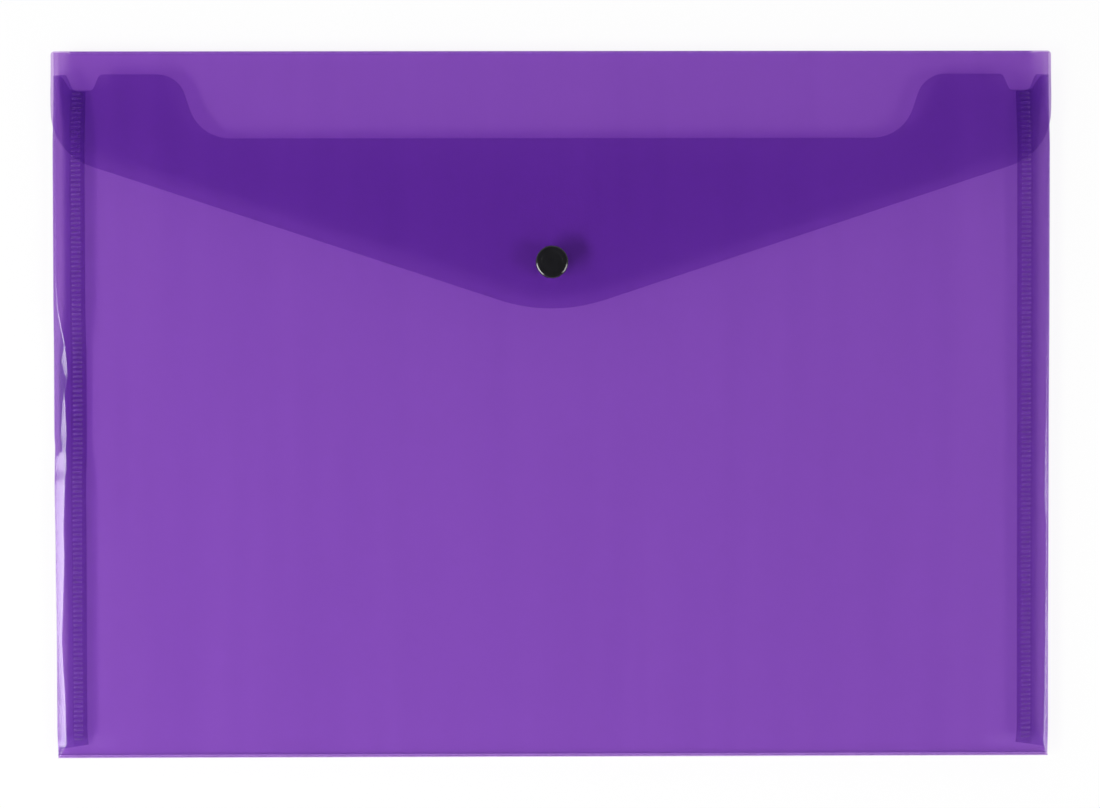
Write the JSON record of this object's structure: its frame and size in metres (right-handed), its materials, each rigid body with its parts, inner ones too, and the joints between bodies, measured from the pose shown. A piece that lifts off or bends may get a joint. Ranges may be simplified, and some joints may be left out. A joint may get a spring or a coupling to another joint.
{
  "type": "document wallet",
  "caption": "Translucent violet plastic envelope wallet for A4 papers, folded from one sheet with welded sides, a thumb cut-out and a pointed flap closed by a black press stud.",
  "frame": {"origin": "on the table, under the middle of the wallet as it lies on its back", "axes": "+X across the wallet to the right as seen from the front, +Y up to the top fold, +Z out of the front"},
  "size_m": [0.33, 0.2334, 0.0095],
  "materials": {
    "violet_polypropylene": "smooth translucent extruded sheet",
    "black_acetal": "glossy moulded"
  },
  "bodies": {
    "back": {"back_panel": "violet_polypropylene", "top_rear_crease": "violet_polypropylene", "base_rear_crease": "violet_polypropylene", "base_spine": "violet_polypropylene", "base_front_crease": "violet_polypropylene", "left_side_fold": "violet_polypropylene", "right_side_fold": "violet_polypropylene", "left_weld_tab": "violet_polypropylene", "right_weld_tab": "violet_polypropylene", "left_weld_ribs": "violet_polypropylene", "right_weld_ribs": "violet_polypropylene"},
    "spine": {"top_spine": "violet_polypropylene", "flap_crease": "violet_polypropylene"},
    "flap": {"closure_flap": "violet_polypropylene", "snap_cap": "black_acetal", "snap_socket": "black_acetal"},
    "front": {"front_panel": "violet_polypropylene", "snap_stud": "black_acetal", "snap_rear_cap": "black_acetal"}
  },
  "joints": [
    {"name": "spine_fold", "type": "hinge", "parent": "back", "child": "spine", "pos_m": [0, 0.1164, 0.0003], "axis": [-1, 0, 0], "range_deg": [0, 90]},
    {"name": "flap_fold", "type": "hinge", "parent": "spine", "child": "flap", "pos_m": [0, 0.1164, 0.0058], "axis": [-1, 0, 0], "range_deg": [0, 87]},
    {"name": "mouth_fold", "type": "hinge", "parent": "back", "child": "front", "pos_m": [0, -0.1164, 0.0055], "axis": [1, 0, 0], "range_deg": [0, 2.5], "deforming": ["left_side_fold", "right_side_fold"]}
  ],
  "couplings": [
    {"joint": "mouth_fold", "follows": "flap_fold", "ratio": 0.0287}
  ]
}
